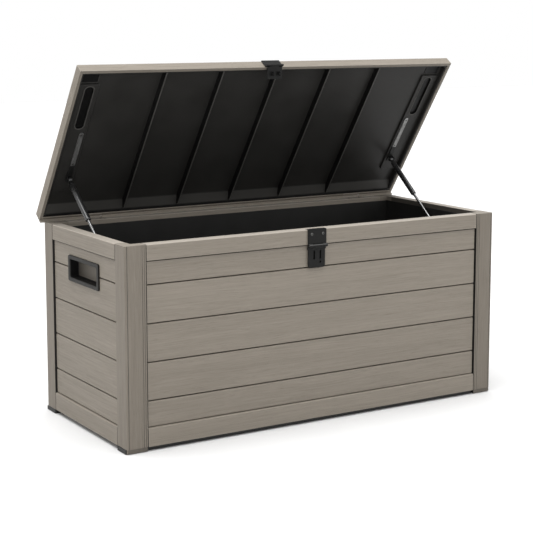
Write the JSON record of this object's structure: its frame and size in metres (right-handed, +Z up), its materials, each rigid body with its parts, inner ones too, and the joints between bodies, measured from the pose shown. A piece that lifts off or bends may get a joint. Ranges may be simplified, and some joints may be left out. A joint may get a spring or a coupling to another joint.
{
  "type": "deck storage box",
  "caption": "Wood-look deck storage box with corner posts and rails, dark liner, side grips, a hinged lid on gas struts and a fold-up padlock hasp.",
  "frame": {"origin": "middle of the whole object, lid open, on the plane that the feet stand on", "axes": "+X to the object's right seen from the front, +Y from the front to the hinged back, +Z up"},
  "size_m": [1.224, 0.5521, 0.9889],
  "materials": {
    "frame_resin": "wood-grain embossed, matt",
    "board_resin": "wood-grain embossed, matt",
    "liner_plastic": "fine matt",
    "foot_plastic": "matt",
    "handle_plastic": "satin",
    "black_metal": "satin powder coat",
    "strut_black": "gloss paint",
    "strut_chrome": "polished",
    "screw_steel": "bright zinc plate",
    "hinge_paint": "taupe powder coat",
    "zinc_steel": "zinc plate"
  },
  "bodies": {
    "box": {"post_front_left": "frame_resin", "post_front_right": "frame_resin", "post_rear_left": "frame_resin", "post_rear_right": "frame_resin", "feet": "foot_plastic", "top_rail_front": "frame_resin", "top_rail_rear": "frame_resin", "top_rail_left": "frame_resin", "top_rail_right": "frame_resin", "bottom_rail_front": "frame_resin", "bottom_rail_rear": "frame_resin", "bottom_rail_left": "frame_resin", "bottom_rail_right": "frame_resin", "front_board_1": "board_resin", "front_board_2": "board_resin", "front_board_3": "board_resin", "front_board_4": "board_resin", "front_board_5": "board_resin", "rear_board_1": "board_resin", "rear_board_2": "board_resin", "rear_board_3": "board_resin", "rear_board_4": "board_resin", "rear_board_5": "board_resin", "left_board_1": "board_resin", "left_board_2": "board_resin", "left_board_3": "board_resin", "left_board_4": "board_resin", "left_board_5": "board_resin", "right_board_1": "board_resin", "right_board_2": "board_resin", "right_board_3": "board_resin", "right_board_4": "board_resin", "right_board_5": "board_resin", "liner_front": "liner_plastic", "liner_rear": "liner_plastic", "liner_left": "liner_plastic", "liner_right": "liner_plastic", "floor_panel": "liner_plastic", "base_runners": "foot_plastic", "handle_left": "handle_plastic", "handle_right": "handle_plastic", "latch_base": "black_metal", "latch_screws": "screw_steel", "latch_pin": "screw_steel", "hinge_leaves_body": "hinge_paint", "hinge_pins": "screw_steel", "hinge_screws": "screw_steel", "strut_brackets_body": "zinc_steel"},
    "lid": {"lid_shell": "board_resin", "lid_liner": "liner_plastic", "strut_brackets_lid": "zinc_steel", "hasp_plate": "black_metal", "hasp_pin": "screw_steel", "hinge_leaves_lid": "hinge_paint"},
    "latch_flap": {"latch_flap": "black_metal"},
    "hasp_tongue": {"hasp_tongue": "black_metal"},
    "strut_tube_left": {"strut_tube_left": "strut_black"},
    "strut_tube_right": {"strut_tube_right": "strut_black"},
    "strut_rod_left": {"strut_rod_left": "strut_chrome"},
    "strut_rod_right": {"strut_rod_right": "strut_chrome"}
  },
  "joints": [
    {"name": "lid_hinge", "type": "hinge", "parent": "box", "child": "lid", "pos_m": [0, 0.2539, 0.54075], "axis": [-1, 0, 0], "range_deg": [-55, 0]},
    {"name": "latch_hinge", "type": "hinge", "parent": "box", "child": "latch_flap", "pos_m": [-0.022, -0.273, 0.495], "axis": [1, 0, 0], "range_deg": [-180, 0]},
    {"name": "hasp_hinge", "type": "hinge", "parent": "lid", "child": "hasp_tongue", "pos_m": [-0.022, -0.04861, 0.97582], "axis": [-1, 0, 0], "range_deg": [0, 55]},
    {"name": "strut_pivot_left", "type": "hinge", "parent": "lid", "child": "strut_tube_left", "pos_m": [-0.552, 0.17329, 0.66241], "axis": [1, 0, 0], "range_deg": [-67.5, 0]},
    {"name": "rod_slide_left", "type": "slide", "parent": "strut_tube_left", "child": "strut_rod_left", "axis": [0, -0.7778, -0.6285], "range_m": [-0.123, 0]},
    {"name": "strut_pivot_right", "type": "hinge", "parent": "lid", "child": "strut_tube_right", "pos_m": [0.552, 0.17329, 0.66241], "axis": [1, 0, 0], "range_deg": [-67.5, 0]},
    {"name": "rod_slide_right", "type": "slide", "parent": "strut_tube_right", "child": "strut_rod_right", "axis": [0, -0.7778, -0.6285], "range_m": [-0.123, 0]}
  ],
  "couplings": [
    {"joint": "hasp_hinge", "follows": "lid_hinge", "ratio": -1},
    {"joint": "strut_pivot_left", "follows": "lid_hinge", "ratio": 1.223},
    {"joint": "rod_slide_left", "follows": "lid_hinge", "m_per_rad": 0.12798},
    {"joint": "strut_pivot_right", "follows": "lid_hinge", "ratio": 1.223},
    {"joint": "rod_slide_right", "follows": "lid_hinge", "m_per_rad": 0.12798}
  ]
}
